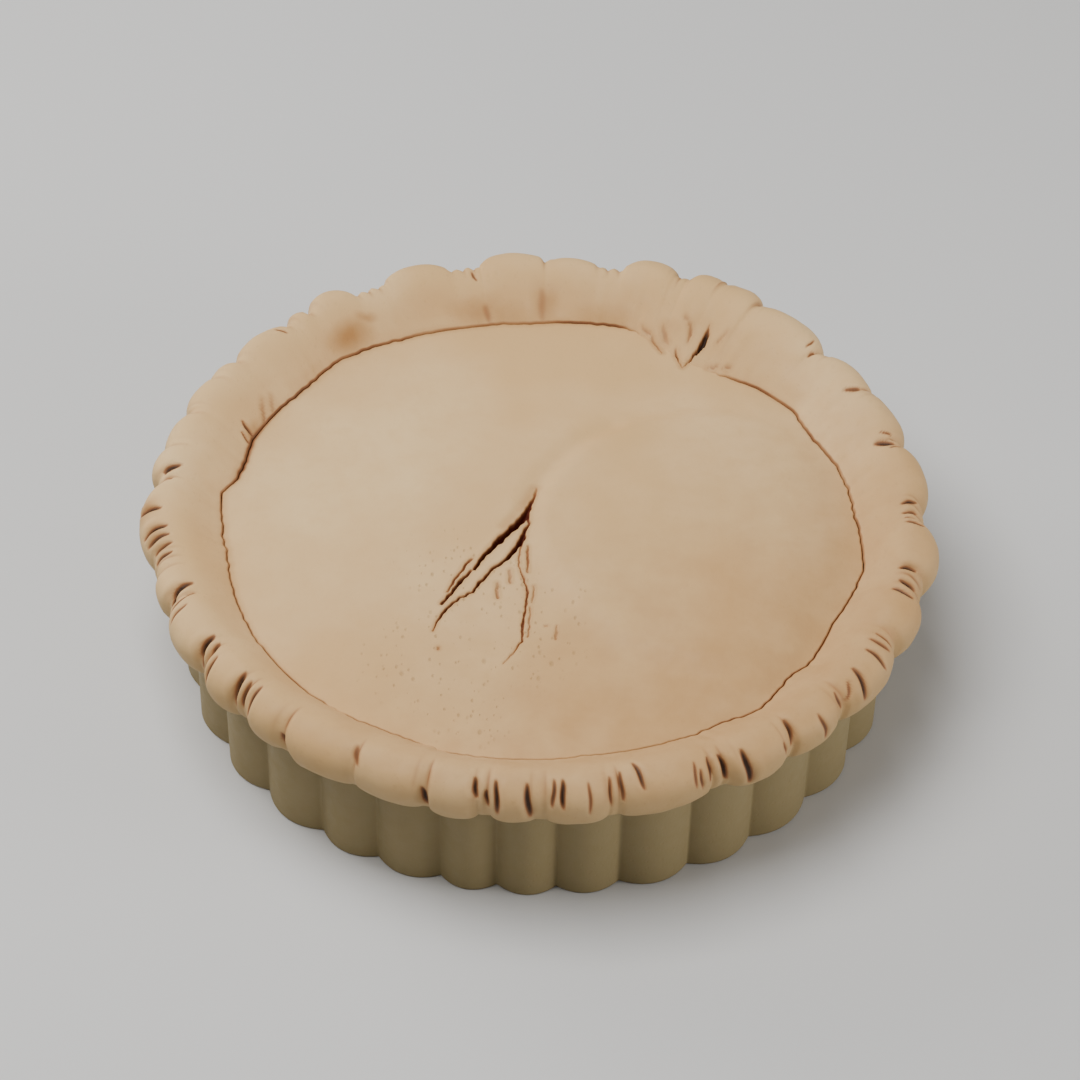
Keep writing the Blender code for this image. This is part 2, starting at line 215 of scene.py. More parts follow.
# Where the rim folds in over the lid
TUCK_ANGLE = 58.8
TUCK_HALF_WIDTH = 4.5
TUCK_DEPTH = 1.2

# Folds that run over rim and lid, the tuck's fan first: each a path of (x, y, width, depth) in mm
RIM_FOLD_REACH = 12.0
TUCK_SPREAD = 14.0
RIM_FOLDS = (
    (
        (52.3, 86.6, 0.4, 0.3), (51.2, 83.9, 1.9, 2), (50, 81.2, 2.4, 2.6), (48.6, 79.4, 1.7, 2),
        (47.1, 78, 1, 1.2), (45.2, 76.2, 0.7, 0.5), (43.6, 73.8, 0.5, 0.3),
    ),
    ((30.3, 91.5, 0.5, 0.2), (31.9, 89.8, 1.1, 0.5), (33.5, 88.5, 0.9, 0.5)),
    ((34.1, 87.3, 0.9, 0.4), (35.4, 84.4, 1, 0.6), (37.3, 80.7, 0.6, 0.3)),
    ((37.4, 89, 1.6, 0.25), (38.2, 86.6, 2.4, 0.45), (39.2, 84, 1.1, 0.3)),
    ((41.7, 81.2, 0.9, 0.6), (42, 79.2, 1.2, 0.9), (42.6, 77, 0.7, 0.5), (43.6, 73.8, 0.6, 0.3)),
    ((44.6, 90.4, 0.9, 0.3), (46, 87.4, 1.6, 0.45), (46.3, 85, 1.6, 0.55), (45.4, 82.6, 0.8, 0.3)),
    ((57.5, 83, 0.9, 0.2), (54.4, 80.5, 1.1, 0.35)),
    ((51.6, 73.8, 0.8, 0.3), (53.4, 73.4, 1, 0.5), (55, 73.6, 0.7, 0.3)),
    ((56.4, 72.9, 0.9, 0.4), (57.8, 72.5, 1.1, 0.6), (59, 72.3, 0.7, 0.3)),
    ((-84.8, 52.6, 1.1, 0.2), (-84.6, 50.6, 1.5, 0.4), (-84, 48.4, 1.3, 0.4)),
    ((-87.4, 50.2, 1.1, 0.2), (-87.3, 47.4, 1.6, 0.5), (-86.6, 43.4, 1.3, 0.6)),
)

# Lid, in mm: a low dome and a mound that lifts its right half
DOME_RISE = 3.0
MOUND_X = 55.0
MOUND_Y = -4.0
MOUND_RADIUS = 60.0
MOUND_RISE = 2.2
MOUND_EDGE = 9.0
MOUND_FADE_SHARE = 0.25
LID_EDGE_ROLL = 0.55
LID_EDGE_DROP = 0.6

# Lumps of the rim and the lid: height in mm, size in mm, seed
RIM_LUMPS = ((0.30, 13.0, 3), (0.08, 4.0, 4))
LID_LUMPS = ((0.35, 24.0, 5), (0.10, 7.0, 6))
LID_LUMP_FADE = 8.0

# Tears of the vent: each a path of (x, y, width, depth) in mm
TEARS = (
    (
        (-1.3, 14.4, 0.8, 0.4), (-2.5, 9.5, 1.2, 1.3), (-3.8, 4.8, 2, 2.6), (-5.4, 0.2, 3.1, 4.2),
        (-11.9, -8.7, 2.6, 4), (-16.6, -15.8, 1.9, 3.2), (-19.6, -21.6, 1.2, 1.8),
    ),
    ((-20.5, -22.2, 1, 1.2), (-23.5, -26.6, 1.7, 2.3), (-26, -31.5, 1.2, 1.7), (-28.9, -36.2, 1.3, 1.5)),
    (
        (-20.2, -17.1, 0.8, 0.7), (-22, -19.5, 1.3, 1.2), (-23.7, -23.1, 1, 0.9),
        (-25.5, -26.6, 1.1, 1.1), (-27.4, -31.4, 0.8, 0.6),
    ),
    ((-3.8, 2.4, 1.2, 1.6), (-3.6, -2, 0.9, 1.2), (-4.4, -4.5, 1.3, 1.8)),
    (
        (-4.5, -4.7, 1.4, 2), (-5.4, -8.8, 2.2, 3.2), (-7.7, -13.5, 1.9, 2.9), (-10.6, -18.4, 1.4, 2.2),
        (-13.9, -21, 1.2, 1.8), (-17.6, -26.8, 1.3, 2), (-19.8, -31, 1.1, 1.6), (-24.2, -34.2, 1.1, 1.6),
        (-27.5, -38.6, 1.2, 1.8), (-29.7, -42.7, 0.9, 1.2), (-31.2, -47.6, 0.6, 0.5),
    ),
    ((-5.3, -9.7, 0.7, 0.6), (-6.3, -17.2, 0.7, 0.6), (-5.6, -22, 0.7, 0.7), (-4.4, -26.1, 0.8, 0.9)),
    (
        (-4.4, -26.1, 0.8, 0.9), (-3.4, -30.8, 0.9, 1.1), (-3.8, -38.1, 0.8, 1), (-4.7, -44.2, 1.1, 1.2),
        (-4.5, -51.3, 0.8, 0.9), (-7.2, -55.9, 0.6, 0.5), (-9.9, -60.3, 0.6, 0.4),
    ),
    ((-3.7, -12, 0.9, 0.6), (-3.6, -17.1, 1.1, 0.8), (-3.4, -22.4, 0.7, 0.5)),
    ((-1.5, -28.2, 0.6, 0.3), (-1.5, -32, 0.9, 0.5), (-2.1, -35.1, 0.6, 0.3)),
    ((-2.4, -37, 0.6, 0.4), (-2.5, -43.2, 0.8, 0.5), (-2.9, -49.5, 0.8, 0.5)),
    ((-8.8, -22, 1.3, 0.3), (-8.7, -26.8, 1.4, 0.5)),
    ((-12.6, -27.1, 1.3, 0.3), (-12.3, -33.1, 1.6, 0.6)),
    ((5.6, -44.9, 0.9, 0.3), (5.4, -49.8, 1.3, 0.45)),
    ((2.1, -44.9, 0.9, 0.3), (3, -44.8, 0.9, 0.3)),
    ((-29.3, -54.2, 0.9, 0.5), (-29.2, -55, 0.9, 0.5)),
)
LID_TEARS = TEARS + RIM_FOLDS
TEAR_RAGGED = 0.24
TEAR_RAGGED_SIZE = 1.6
TEAR_WALL = 1.5
TEAR_LIP_WIDTH = 2.2
TEAR_LIP_OFFSET = 0.7
TEAR_LIP_RISE = 0.22
TEAR_FULL_DEPTH = 4.0
# Depth in mm at which a fold or tear gets the full crease tone, partly as painted shade in its depth
FULL_TONE_DEPTH = 1.5

# The soft trough beside the vent's upper end, browned and painted with shade where it dips, as (x, y) in mm
SCORCH = ((-1.8, 14.4), (-4.0, 9.0), (-6.6, 4.0), (-11.0, -3.0))
SCORCH_REACH = 3.6
SCORCH_AND_SHADE_STRENGTH = 0.5
SCORCH_DEPTH = 0.15

# The fold that runs up from the vent along the mound's edge, as (x, y) in mm
MOUND_FOLD = ((-3.4, 8.0), (-0.8, 17.5), (3.0, 24.0), (8.0, 31.5), (14.0, 39.0), (21.0, 44.0))
MOUND_FOLD_WIDTH = 6.5
MOUND_FOLD_DEPTH = 0.9

# Painted shade in the toasted colour: how much darker the lid is painted towards the front right, and over
# how many mm it changes
SIDE_SHADE = 0.5
SIDE_SHADE_WAY = (0.6, -0.8)
SIDE_SHADE_START = 50.0
SIDE_SHADE_SPAN = 150.0
SIDE_SHADE_RIM_SHARE = 0.9

# Soft browning beside folds, tears and the seam, and browning with painted shade along the mound's fold:
# strength, reach in mm
FOLD_TOAST = (0.35, 2.0)
TEAR_TOAST = (0.45, 1.8)
RIM_SEAM_TOAST = (0.3, 3.0)
LID_SEAM_TOAST = (0.35, 2.6)
MOUND_FOLD_TONE_AND_SHADE = (0.45, 3.2)
MOUND_FOLD_SHADE_Y = 8.0
MOUND_FOLD_SHADE_SPAN = 14.0

# Painted shade in the toasted colour on the rim's inner slope, up to this length over it
SLOPE_SHADE = 0.16
SLOPE_SHADE_END = 17.0
SLOPE_SHADE_FADE = 9.0

# Painted shade on the rim's lower side: how much of the wall's darker colour the rim has at its outermost and
# at its underside's end
LOWER_RIM_SHADE = 0.4
UNDERSIDE_SHADE = 0.9

# Where the lid is pocked with small pores: x, y and reach in mm
PORED_PATCHES = (
    (-28, -20, 22), (-16, -36, 30), (-4, -52, 26), (-36, -60, 26), (-20, -78, 22), (6, -38, 16),
)
LEAST_PORES = 0.08
RIM_PORES = 0.15
PORED_SPREAD = 1.5

# Tones made out of the pale pastry, and the browned edge of a crease's tone and painted shade out of the
# toasted colour
FLOUR_TINT = (1.05, 1.07, 1.10)
WARM_TINT = (0.92, 0.86, 0.76)
PORE_TINT = (0.42, 0.36, 0.26)
FRINGE_TINT = (0.80, 0.68, 0.80)
PORE_TONE = 0.42

# Pores are longer from front to back
PORE_STRETCH = (1.0, 0.62, 1.0)

# The studio: half the floor's side in metres, and the light of the room
FLOOR_HALF = 8.0
ROOM_COLOUR = (0.95, 0.97, 1.0, 1.0)
ROOM_STRENGTH = 0.2

# Rings of the case's mesh on each part of its section, from the pocket's middle to the base's middle
RINGS = (
    ("pocket", 3), ("lip", 8), ("slope", 24), ("outer", 18),
    ("under", 14), ("wall", 9), ("base", 3), ("bottom", 4),
)
SLOPE_CROWDING = 1.25

# Mesh fineness
CASE_STEPS = 1080
CROWDING_SAMPLES = 7201
STEP_CROWDING = 1.5
STEP_CROWDING_REACH = 1.3
LID_CELLS = 190
LUMP_WAVES = 14
SHARP_ANGLE = 80.0
FAR = 1e9
JOIN_DISTANCE = 0.001
FINE_TEAR_REACHES = (4.2, 2.2)
FINE_SEAM_REACHES = (3.2, 1.5)


def eased(value):
    """Return value clamped to 0..1 and eased at both ends."""
    value = np.clip(value, 0.0, 1.0)
    return value * value * (3.0 - 2.0 * value)


def bell(offset, half_width):
    """Return 1 at no offset, falling smoothly to 0 at half_width."""
    share = np.clip(np.abs(offset) / half_width, 0.0, 1.0)
    return (1.0 - share * share) ** 2


def apart(angle, centre):
    """Return the angle's offset from a centre, in degrees between -180 and 180."""
    return (angle - centre + 180.0) % 360.0 - 180.0


def uneven(angle, waves):
    """Return a value between -1 and 1 that changes unevenly round the pie."""
    return np.sin(np.radians(waves[0] * angle) + 1.0) * np.sin(np.radians(waves[1] * angle))


def flat_place(radius, angle):
    """Return x and y of places at a radius and an angle in degrees."""
    return radius * np.cos(np.radians(angle)), radius * np.sin(np.radians(angle))


def seam_closed(angle):
    """Return the share to which the seam is pressed shut at an angle."""
    closed = np.zeros_like(angle)
    for centre, reach, share in SEAM_CLOSED:
        near = bell(apart(angle, centre), reach)
        closed = np.maximum(closed, share * eased(SEAM_CLOSING * near))
    return closed


def seam_radius(angle):
    """Return the seam's radius, its corners with the finer unevenness of cut dough."""
    corners = np.array(SEAM_CORNERS)
    radius = np.interp(angle % 360.0, corners[:, 0], corners[:, 1], period=360.0)
    draw = random.Random(SEED)
    wobble = np.zeros_like(radius)
    for waves in SEAM_WAVES:
        wobble += np.sin(np.radians(waves * angle) + draw.uniform(0.0, 6.28))
    strength = 0.5 + 0.5 * uneven(angle, SEAM_WAVE_PATCHES)
    return radius + SEAM_WAVE_HEIGHT * wobble * np.clip(strength, 0.0, 1.0)


def seam_colour(angle, distance):
    """Return how dark the seam colours a place at a distance in mm from it."""
    tones = np.array(SEAM_TONES)
    dark = np.interp(angle % 360.0, tones[:, 0], tones[:, 1], period=360.0)
    width = np.interp(angle % 360.0, tones[:, 0], tones[:, 2], period=360.0)
    patchy = 1.0 - SEAM_TONE_PATCHINESS + SEAM_TONE_PATCHINESS * uneven(angle, SEAM_TONE_PATCHES)
    near = np.clip(1.0 - distance / width, 0.0, 1.0) ** SEAM_TONE_POWER
    return SEAM_TONE * dark * patchy * near * (1.0 - seam_closed(angle))


def pinch_depth(angle):
    """Return how far the rim is pushed in from its full radius; less than 0 where a lobe swells."""
    rows = np.array(PINCHES)
    around = angle % 360.0
    before = (np.searchsorted(rows[:, 0], around, side="right") - 1) % len(rows)
    after = (before + 1) % len(rows)
    width = (rows[after, 0] - rows[before, 0]) % 360.0
    lobe = width - rows[before, 3] - rows[after, 3]
    place = ((around - rows[before, 0]) % 360.0 - rows[before, 3]) / lobe
    bulge = (1.0 - np.minimum(np.abs(2.0 * place - 1.0), 1.0) ** LOBE_POWER) ** LOBE_ROUNDNESS
    depth = np.where(place < 0.5, rows[before, 1], rows[after, 1])
    return depth * (1.0 - bulge) - rows[before, 2] * bulge


def ripples(angle):
    """Return the relief of the ripples in each pinch, and how deep each place is in one."""
    height = np.zeros_like(angle)
    valley = np.zeros_like(angle)
    for centre, depth, _, floor in PINCHES:
        offset = apart(angle, centre)
        near = bell(offset, floor + RIPPLE_REACH)
        wave = np.abs(np.sin(math.pi * (offset - RIPPLE_SHIFT) / RIPPLE_PITCH))
        height += RIPPLE_DEPTH * depth / RIPPLE_FULL_PINCH * (wave - RIPPLE_MEAN) * near
        valley = np.maximum(valley, (1.0 - wave) ** 3 * near)
    return height, valley


def crowded_angles(steps):
    """Return the angle of each step round the case, closer together where creases need it."""
    fine = np.linspace(0.0, 360.0, CROWDING_SAMPLES)
    crowd = np.zeros_like(fine)
    for row in CREASES:
        crowd = np.maximum(crowd, bell(apart(fine, row[0]), STEP_CROWDING_REACH))
    crowd = np.maximum(crowd, bell(apart(fine, TUCK_ANGLE), TUCK_SPREAD) ** 0.5)
    density = 1.0 + STEP_CROWDING * crowd
    total = np.concatenate([[0.0], np.cumsum(0.5 * (density[1:] + density[:-1]))])
    return np.interp(np.arange(steps) * total[-1] / steps, total, fine)


def flute_bulge(angle):
    """Return how far the wall swells between two grooves, 0 to about 1, a little unevenly."""
    draw = random.Random(SEED)
    offsets = np.arange(FLUTE_COUNT) * 360.0 / FLUTE_COUNT
    grooves = FLUTE_START + offsets + FLUTE_DRIFT * np.sin(np.radians(FLUTE_DRIFT_WAVES * offsets))
    grooves += np.array([draw.uniform(-FLUTE_JITTER, FLUTE_JITTER) for _ in range(FLUTE_COUNT)])
    swell = np.array([1.0 - FLUTE_UNEVENNESS * draw.random() for _ in range(FLUTE_COUNT)])
    grooves = np.append(grooves, grooves[0] + 360.0)
    around = (angle - grooves[0]) % 360.0 + grooves[0]
    flute = np.clip(np.searchsorted(grooves, around, side="right") - 1, 0, FLUTE_COUNT - 1)
    share = (around - grooves[flute]) / (grooves[flute + 1] - grooves[flute])
    return swell[flute] * (1.0 - np.abs(2.0 * share - 1.0) ** 2)


def lumps(x, y, z, size, seed):
    """Return smooth unevenness between about -1 and 1, with lumps of the given size in mm."""
    draw = random.Random(SEED + seed)
    level = np.zeros_like(x)
    for _ in range(LUMP_WAVES):
        way = Vector([draw.gauss(0.0, 1.0) for _ in range(3)]).normalized()
        way *= math.pi / size * draw.uniform(0.6, 1.4)
        level = level + np.sin(way.x * x + way.y * y + way.z * z + draw.uniform(0.0, 2.0 * math.pi))
    return level / math.sqrt(2.0 * LUMP_WAVES)


def lumpy(x, y, z, layers):
    """Return the unevenness of several layers of lumps, in mm."""
    return sum(rise * lumps(x, y, z, size, seed) for rise, size, seed in layers)


def lid_level(x, y):
    """Return the height of the lid's smooth upper face: the dome and the mound."""
    angle = np.degrees(np.arctan2(y, x))
    share = np.clip(np.hypot(x, y) / seam_radius(angle), 0.0, 1.0)
    dome = DOME_RISE * (1.0 - share * share)
    inward = MOUND_RADIUS - np.hypot(x - MOUND_X, y - MOUND_Y)
    mound = MOUND_RISE * eased(inward / MOUND_EDGE) * eased((1.0 - share) / MOUND_FADE_SHARE)
    return LID_EDGE_HEIGHT + dome + mound


def along_path(x, y, path):
    """Return the distance to a path and its further values at the nearest place on it."""
    nearest = np.full_like(x, FAR)
    values = [np.zeros_like(x) for _ in path[0][2:]]
    for start, end in zip(path, path[1:]):
        run = (end[0] - start[0], end[1] - start[1])
        square = run[0] ** 2 + run[1] ** 2
        share = np.clip(((x - start[0]) * run[0] + (y - start[1]) * run[1]) / square, 0.0, 1.0)
        gap = np.hypot(x - start[0] - share * run[0], y - start[1] - share * run[1])
        closer = gap < nearest
        nearest = np.where(closer, gap, nearest)
        for index, value in enumerate(values):
            here = start[index + 2] + (end[index + 2] - start[index + 2]) * share
            values[index] = np.where(closer, here, value)
    return nearest, values


def side_shade(x, y):
    """Return how much painted shade, in the toasted colour, a place has: more towards the front right."""
    return SIDE_SHADE * eased((SIDE_SHADE_WAY[0] * x + SIDE_SHADE_WAY[1] * y + SIDE_SHADE_START) / SIDE_SHADE_SPAN)


def tone_near(gap, toast_and_shade):
    """Return the tone at a distance from a fold, tear or seam: full in it, fading over its reach; it is
    browning, with painted shade along the mound's fold.
    """
    return toast_and_shade[0] * bell(gap, toast_and_shade[1])


def tear_gap(x, y, paths):
    """Return the distance from each place to the nearest tear's edge."""
    gap = np.full_like(x, FAR)
    for path in paths:
        distance, (width, _) = along_path(x, y, path)
        gap = np.minimum(gap, distance - 0.5 * width)
    return gap


def tear_shape(x, y, paths):
    """Return the depth of the tears and the lift of their lips."""
    level = np.zeros_like(x)
    wander_x = x + TEAR_RAGGED * lumps(x, y, level, TEAR_RAGGED_SIZE, 1)
    wander_y = y + TEAR_RAGGED * lumps(x, y, level, TEAR_RAGGED_SIZE, 2)
    depth = np.zeros_like(x)
    lip = np.zeros_like(x)
    for path in paths:
        distance, (width, deep) = along_path(wander_x, wander_y, path)
        inside = 1.0 - distance / (0.5 * width)
        depth = np.maximum(depth, deep * eased(TEAR_WALL * inside))
        outside = distance - 0.5 * width
        lip = np.maximum(lip, deep / TEAR_FULL_DEPTH * bell(outside - TEAR_LIP_OFFSET, TEAR_LIP_WIDTH))
    return depth, lip


class MeatPieCaseSettings(bpy.types.PropertyGroup):
    """Sizes and colours of the pastry case."""

    rim_radius: FloatProperty(
        name="Rim radius", description="Radius of the rolled rim's full lobes",
        default=0.120, unit="LENGTH",
    )
    base_radius: FloatProperty(
        name="Base radius", description="Radius of the flutes' tips at the base",
        default=0.1092, unit="LENGTH",
    )
    crest_height: FloatProperty(
        name="Crest height", description="Mean height of the rim's crest",
        default=0.0564, unit="LENGTH",
    )
    flute_depth: FloatProperty(
        name="Flute depth", description="Depth of the grooves between the wall's flutes",
        default=0.0039, unit="LENGTH",
    )
    crease_scale: FloatProperty(
        name="Crease depth", description="Depth of the rim's creases, 1 as baked",
        default=1.0, min=0.0, max=2.0,
    )
    pastry: FloatVectorProperty(
        name="Pastry", description="Colour of the pale pastry",
        subtype="COLOR", size=3, default=(0.80, 0.532, 0.255), min=0.0, max=1.0,
    )
    # The wall's colour is partly pastry browned against the tin and partly painted shade
    wall_pastry_and_shade: FloatVectorProperty(
        name="Wall pastry", description="Colour of the wall that baked against the tin",
        subtype="COLOR", size=3, default=(0.27, 0.205, 0.094), min=0.0, max=1.0,
    )
    # The crease colour is partly browned pastry and partly painted shade in the rim's creases and folds
    crease_tone_and_shade: FloatVectorProperty(
        name="Crease", description="Colour in the depth of the rim's creases",
        subtype="COLOR", size=3, default=(0.036, 0.013, 0.0035), min=0.0, max=1.0,
    )


class MeatPieLidSettings(bpy.types.PropertyGroup):
    """Sizes and colours of the lid."""

    tear_scale: FloatProperty(
        name="Tear depth", description="Depth of the vent's tears, 1 as baked",
        default=1.0, min=0.0, max=1.2,
    )
    cells: IntProperty(
        name="Cells", description="Mesh cells across the lid before the tears are made finer",
        default=LID_CELLS, min=60, max=220,
    )
    pastry: FloatVectorProperty(
        name="Pastry", description="Colour of the lid's pale pastry",
        subtype="COLOR", size=3, default=(0.80, 0.532, 0.255), min=0.0, max=1.0,
    )
    # The toasted colour paints browning, and also painted shade towards the front right, on the rim's inner
    # slope and along the mound's fold
    toast_and_shade: FloatVectorProperty(
        name="Toasted", description="Colour of softly browned patches",
        subtype="COLOR", size=3, default=(0.45, 0.22, 0.07), min=0.0, max=1.0,
    )
    # The crease colour is partly browned pastry and partly painted shade in the tears
    crease_tone_and_shade: FloatVectorProperty(
        name="Crease", description="Colour in the depth of the tears",
        subtype="COLOR", size=3, default=(0.11, 0.013, 0.002), min=0.0, max=1.0,
    )


class MeatPieStudioSettings(bpy.types.PropertyGroup):
    """The floor, the lights and the camera."""

    floor: FloatVectorProperty(
        name="Floor", description="Colour of the pale floor",
        subtype="COLOR", size=3, default=(0.72, 0.71, 0.69), min=0.0, max=1.0,
    )
    key_power: FloatProperty(
        name="Key light", description="Power of the large light overhead", default=15.0, unit="POWER"
    )
    edge_power: FloatProperty(
        name="Edge light", description="Power of the light from behind on the left", default=7.0, unit="POWER"
    )
    side_power: FloatProperty(
        name="Side light", description="Power of the low light on the right", default=7.0, unit="POWER"
    )
    lens: FloatProperty(
        name="Lens", description="Focal length of the camera", default=150.0, unit="CAMERA"
    )
    distance: FloatProperty(
        name="Camera distance", description="From the camera to its aim",
        default=1.3721, unit="LENGTH",
    )
    aim_height: FloatProperty(
        name="Aim height", description="Height of the camera's aim",
        default=0.04038, unit="LENGTH",
    )
    elevation: FloatProperty(
        name="Elevation", description="Angle at which the camera looks down",
        default=math.radians(43.98), subtype="ANGLE",
    )
    roll: FloatProperty(
        name="Roll", description="Turn of the camera on its own axis",
        default=math.radians(1.295), subtype="ANGLE",
    )


class NodeBoard:
    """A material's node tree with short calls for the nodes that pastry needs."""

    def __init__(self, name):
        self.material = bpy.data.materials.new(name)
        self.material.use_nodes = True
        self.nodes = self.material.node_tree.nodes
        self.links = self.material.node_tree.links
        self.shader = self.nodes["Principled BSDF"]
        self.place = self.add("TexCoord").outputs["Object"]

    def add(self, kind, **constants):
        """Return a new node of a kind with the given constants in its inputs."""
        node = self.nodes.new("ShaderNode" + kind)
        for name, value in constants.items():
            node.inputs[name].default_value = value
        return node

    def grain(self, scale, detail=3.0, roughness=0.55):
        """Return a noise value over the object's own coordinates."""
        node = self.add("TexNoise", Scale=scale, Detail=detail, Roughness=roughness)
        self.links.new(self.place, node.inputs["Vector"])
        return node.outputs["Fac"]

    def pits(self, scale, size, share):
        """Return scattered pits: size is their reach in cells, share how many cells hold one."""
        stretch = self.add("Mapping", Scale=PORE_STRETCH)
        self.links.new(self.place, stretch.inputs["Vector"])
        node = self.add("TexVoronoi", Scale=scale)
        self.links.new(stretch.outputs["Vector"], node.inputs["Vector"])
        split = self.add("SeparateColor")
        self.links.new(node.outputs["Color"], split.inputs["Color"])
        kept = self.reckon("LESS_THAN", split.outputs["Red"], share)
        reach = self.spread(split.outputs["Green"], 0.0, 1.0, 0.5 * size, size)
        inside = self.reckon("SUBTRACT", 1.0, self.reckon("DIVIDE", node.outputs["Distance"], reach))
        return self.reckon("MULTIPLY", self.spread(inside, 0.0, 0.6), kept)

    def spread(self, value, low, high, to_low=0.0, to_high=1.0):
        """Return value mapped from low..high to to_low..to_high, clamped."""
        ends = {"From Min": low, "From Max": high, "To Min": to_low, "To Max": to_high}
        node = self.add("MapRange", **ends)
        self.links.new(value, node.inputs["Value"])
        return node.outputs["Result"]

    def reckon(self, operation, first, second):
        """Return a sum, product or other result of two values."""
        node = self.add("Math")
        node.operation = operation
        for socket, value in zip(node.inputs, (first, second)):
            if isinstance(value, (int, float)):
                socket.default_value = value
            else:
                self.links.new(value, socket)
        return node.outputs["Value"]

    def blend(self, share, first, second):
        """Return a colour mixed from two colours or sockets."""
        node = self.add("Mix")
        node.data_type = "RGBA"
        self.links.new(share, node.inputs["Factor"])
        sockets = [item for item in node.inputs if item.type == "RGBA"]
        for socket, value in zip(sockets, (first, second)):
            self.fill(socket, value)
        return next(out for out in node.outputs if out.type == "RGBA")

    def fill(self, socket, value):
        """Put a colour or a link into a socket."""
        if isinstance(value, bpy.types.NodeSocket):
            self.links.new(value, socket)
        else:
            socket.default_value = (*value, 1.0)

    def painted(self, name):
        """Return a value stored on the mesh's points."""
        node = self.add("Attribute")
        node.attribute_name = name
        return node.outputs["Fac"]

    def bump(self, height, strength, distance, below=None):
        """Return a normal bumped by a height."""
        node = self.add("Bump", Strength=strength, Distance=distance)
        self.links.new(height, node.inputs["Height"])
        if below is not None:
            self.links.new(below, node.inputs["Normal"])
        return node.outputs["Normal"]


def tinted(colour, tint):
    """Return a colour with each part multiplied by the tint's."""
    return tuple(part * share for part, share in zip(colour, tint))


def pastry_material(name, pale, toast_and_shade, crease_tone_and_shade, wall=None):
    """Return matt baked pastry: pale, patchily warmer, darker in its creases with browning and painted shade,
    and finely pored.
    """
    board = NodeBoard(name)
    warm = tinted(pale, WARM_TINT)
    patches = board.spread(board.grain(16.0, 2.0), 0.35, 0.65)
    colour = board.blend(patches, tinted(pale, FLOUR_TINT), warm)
    mottle = board.spread(board.grain(160.0, 4.0, 0.6), 0.42, 0.72, 0.0, 0.35)
    colour = board.blend(mottle, colour, warm)
    # The wall's darker colour: on the wall partly browning against the tin and partly painted shade, on the
    # rim's outer side and underside painted shade
    if wall is not None:
        colour = board.blend(board.painted("wall"), colour, wall)
    speckled = board.spread(board.grain(90.0), 0.3, 0.7, 0.75, 1.2)
    # Toasted colour: browning, and painted shade towards the front right, on the rim's inner slope, beside
    # the vent and along the mound's fold
    colour = board.blend(board.reckon("MULTIPLY", board.painted("toast_and_shade"), speckled), colour, toast_and_shade)
    pore = board.reckon("MAXIMUM", board.pits(300.0, 0.27, 0.5), board.pits(520.0, 0.30, 0.75))
    pore = board.reckon("MULTIPLY", pore, board.painted("pores"))
    colour = board.blend(board.reckon("MULTIPLY", pore, PORE_TONE), colour, tinted(pale, PORE_TINT))
    # Crease tone: a browned edge, then a dark core that is partly browning and partly painted shade in
    # creases, tears and folds
    cut = board.painted("crease_tone_and_shade")
    colour = board.blend(board.spread(cut, 0.0, 0.45), colour, tinted(toast_and_shade, FRINGE_TINT))
    colour = board.blend(board.spread(cut, 0.35, 1.0), colour, crease_tone_and_shade)
    board.fill(board.shader.inputs["Base Color"], colour)
    rough = board.spread(board.grain(220.0, 3.0), 0.3, 0.7, 0.58, 0.78)
    board.links.new(rough, board.shader.inputs["Roughness"])
    board.shader.inputs["Specular IOR Level"].default_value = 0.35
    soft = board.bump(board.grain(260.0, 4.0, 0.6), 0.22, 0.0006)
    sandy = board.bump(board.grain(1500.0, 3.0, 0.65), 0.12, 0.0002, soft)
    pocked = board.bump(board.reckon("MULTIPLY", pore, -1.0), 0.45, 0.0006, sandy)
    board.links.new(pocked, board.shader.inputs["Normal"])
    return board.material


def case_rings():
    """Return the part of the section that each ring of the case lies on, and its share along it."""
    rings = []
    for part, count in RINGS:
        shares = [index / (count - 1) for index in range(count)]
        if part in ("slope", "outer", "under", "bottom"):
            del shares[0]
        if part == "slope":
            shares = [share ** SLOPE_CROWDING for share in shares]
        if part in ("wall", "base", "bottom"):
            shares = [1.0 - share for share in shares]
        rings += [(part, share) for share in shares]
    return rings


